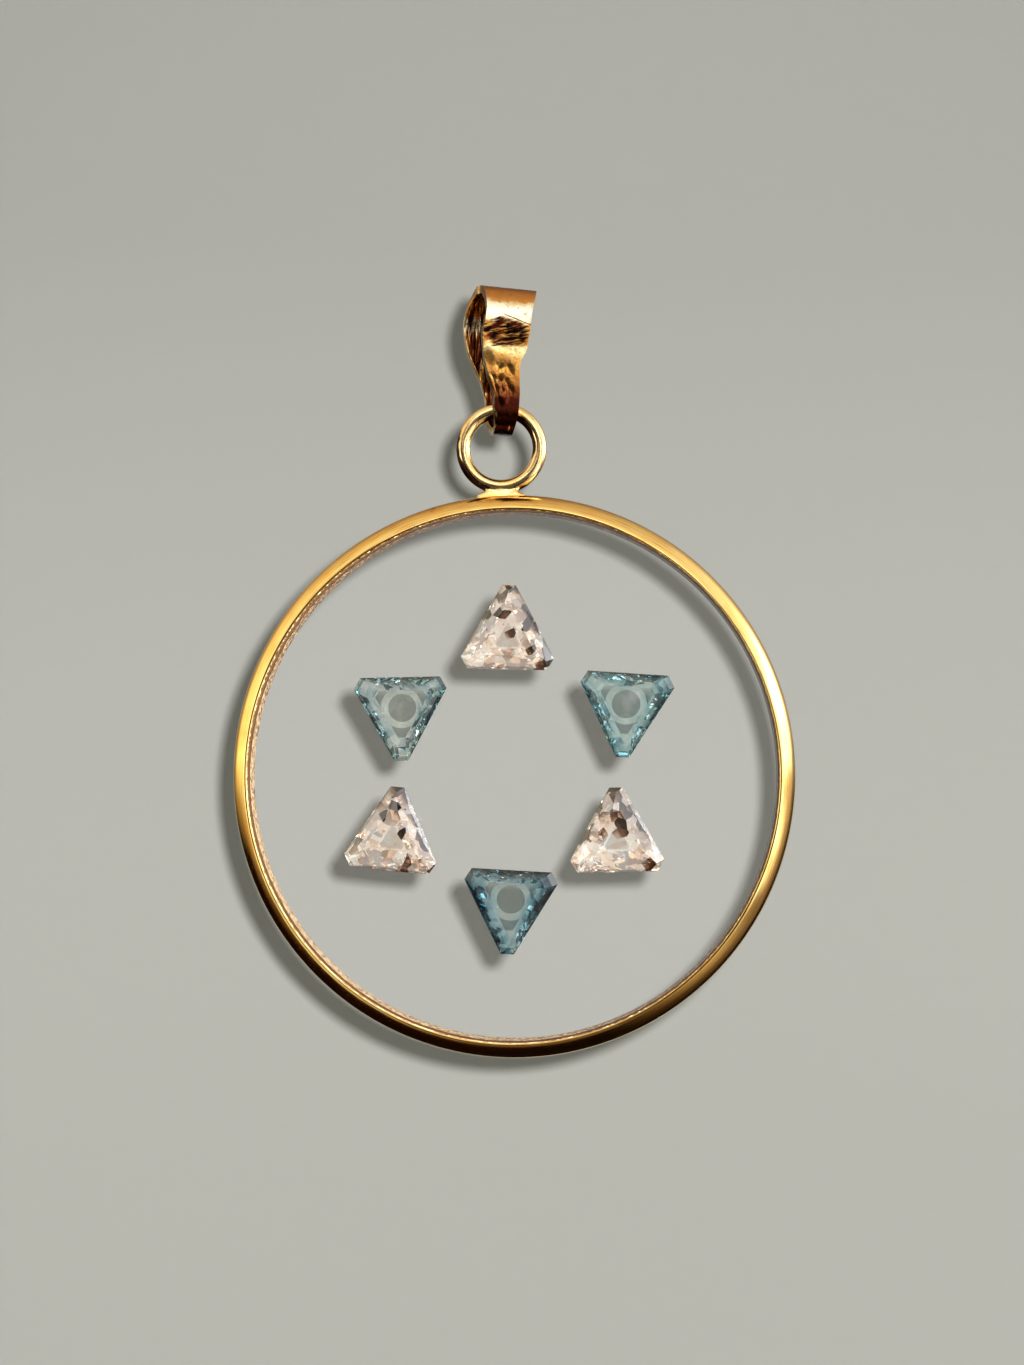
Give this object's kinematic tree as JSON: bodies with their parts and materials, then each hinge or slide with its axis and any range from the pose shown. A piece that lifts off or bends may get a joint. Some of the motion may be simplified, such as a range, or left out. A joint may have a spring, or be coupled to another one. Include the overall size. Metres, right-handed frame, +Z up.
{
  "type": "star of david pendant",
  "caption": "Round gold-framed clear pendant with a hexagram of clear and pale blue triangular stones, hanging by a wire eyelet from a folded strap bail.",
  "frame": {"origin": "inner top of the bail, where a chain bears", "axes": "+Z up as it hangs, +X to the viewer's right, +Y to the back; the stones face -Y"},
  "size_m": [0.03, 0.0046, 0.0411],
  "materials": {
    "gold": "polished yellow gold",
    "pane": "clear polished",
    "clear_stone": "faceted clear, faintly warm",
    "blue_stone": "faceted pale blue"
  },
  "bodies": {
    "hanger": {"bail": "gold"},
    "drop": {"frame_ring": "gold", "pane": "pane", "clear_stone_top": "clear_stone", "clear_stone_left": "clear_stone", "clear_stone_right": "clear_stone", "blue_stone_left": "blue_stone", "blue_stone_right": "blue_stone", "blue_stone_bottom": "blue_stone"}
  },
  "joints": [
    {"name": "swing", "type": "hinge", "parent": "hanger", "child": "drop", "pos_m": [-0.00026, 0, -0.00606], "axis": [1, 0, 0], "range_deg": [-120, 120]}
  ]
}
